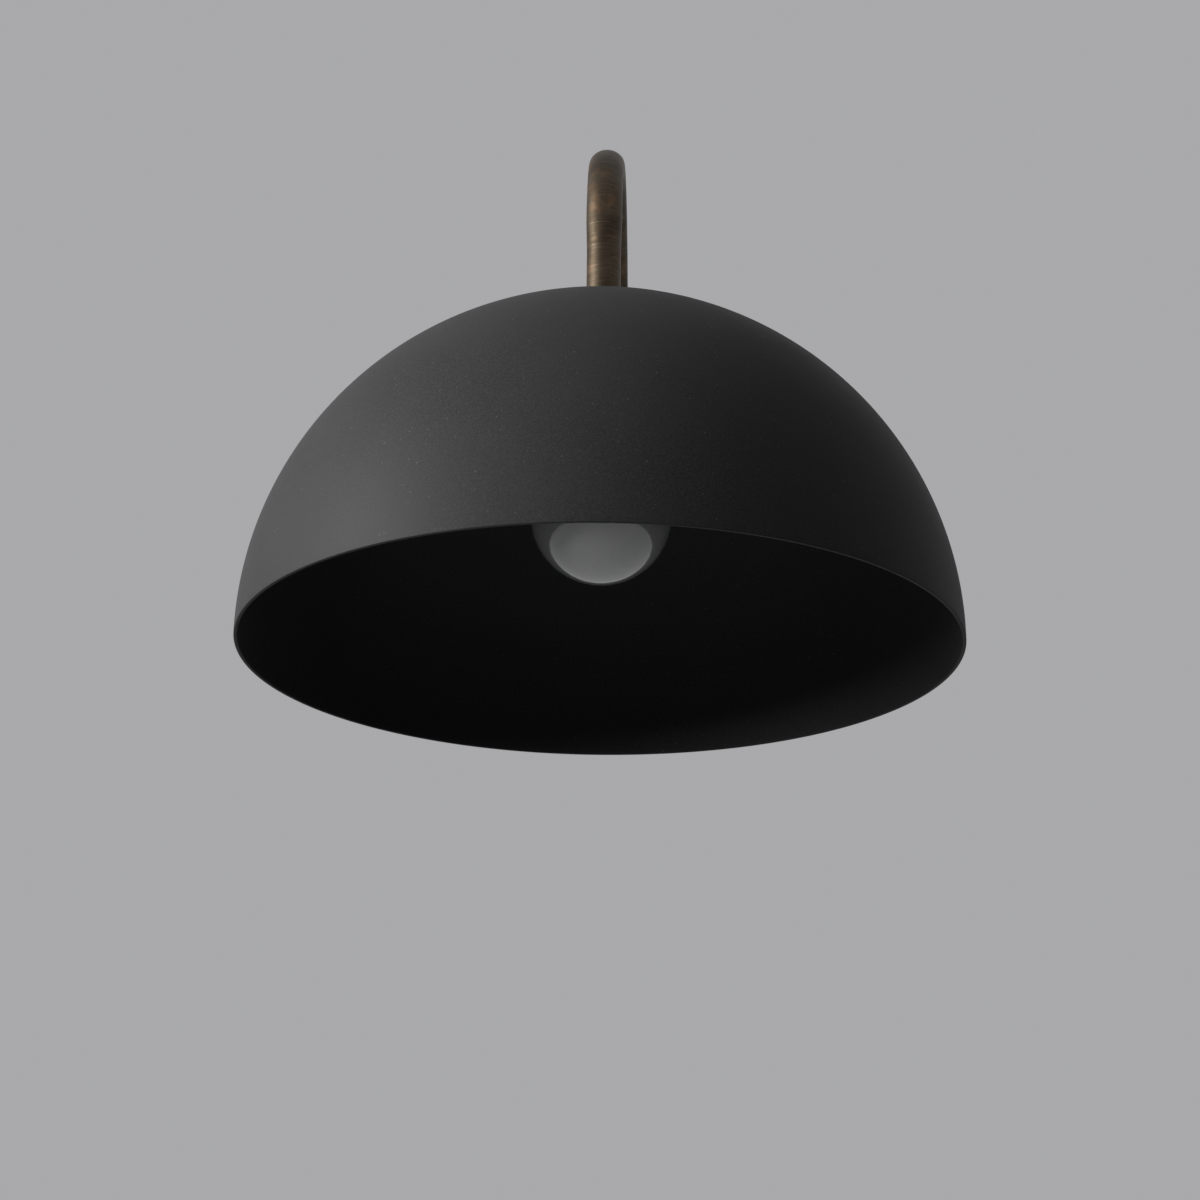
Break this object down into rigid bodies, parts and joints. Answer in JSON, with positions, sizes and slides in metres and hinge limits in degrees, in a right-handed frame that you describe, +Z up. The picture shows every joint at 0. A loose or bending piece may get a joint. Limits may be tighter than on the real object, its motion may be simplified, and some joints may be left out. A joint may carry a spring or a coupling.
{
  "type": "hook-arm wall light",
  "caption": "Wall light: a half-ball metal shade hangs open side down from a hook-shaped brass tube on a round wall canopy, over a screw-in opal bulb.",
  "frame": {"origin": "centre of the wall bracket's back face, midway between the box-screw slots, on the wall", "axes": "+Y into the wall, +Z up, +X to the right for someone facing the wall; the shade is on the -Y side"},
  "size_m": [0.305, 0.3519, 0.2582],
  "materials": {
    "shade_paint": "matte",
    "aged_brass": "satin",
    "zinc_steel": "satin",
    "earth_green": "satin",
    "block_plastic": "matte",
    "contact_brass": "satin",
    "holder_plastic": "satin",
    "ceramic": "gloss",
    "lead_black": "satin",
    "lead_white": "satin",
    "lead_green": "satin",
    "opal_glass": "gloss",
    "cap_metal": "satin",
    "black_glass": "gloss",
    "clear_glass": "gloss",
    "phosphor": "matte"
  },
  "bodies": {
    "fixture": {"wall_bracket": "zinc_steel", "ground_screw": "earth_green", "terminal_block": "block_plastic", "terminal_sleeves": "contact_brass", "terminal_screws": "zinc_steel", "block_screw": "zinc_steel", "canopy": "aged_brass", "canopy_screws": "aged_brass", "wall_collar": "aged_brass", "wall_nipple": "zinc_steel", "ground_lug": "contact_brass", "ground_lead": "lead_green", "wall_lock_washer": "zinc_steel", "wall_lock_nut": "zinc_steel", "arm_tube": "aged_brass", "tube_bushes": "contact_brass", "line_wire": "lead_black", "neutral_wire": "lead_white", "shade_collar": "aged_brass", "shade": "shade_paint", "shade_nipple": "zinc_steel", "shade_washer": "zinc_steel", "shade_lock_nut": "zinc_steel", "holder_cap": "holder_plastic", "holder_skirt": "holder_plastic", "holder_insert": "ceramic", "screw_shell": "contact_brass", "centre_contact": "contact_brass", "holder_terminal_screws": "contact_brass"},
    "bulb": {"bulb_glass": "opal_glass", "bulb_cap": "cap_metal", "bulb_insulator": "black_glass", "bulb_contact": "cap_metal", "bulb_stem": "clear_glass", "bulb_filaments": "phosphor"}
  },
  "joints": [
    {"name": "bulb_unscrew", "type": "slide", "parent": "fixture", "child": "bulb", "axis": [0, 0, -1], "range_m": [0, 0.028]}
  ]
}
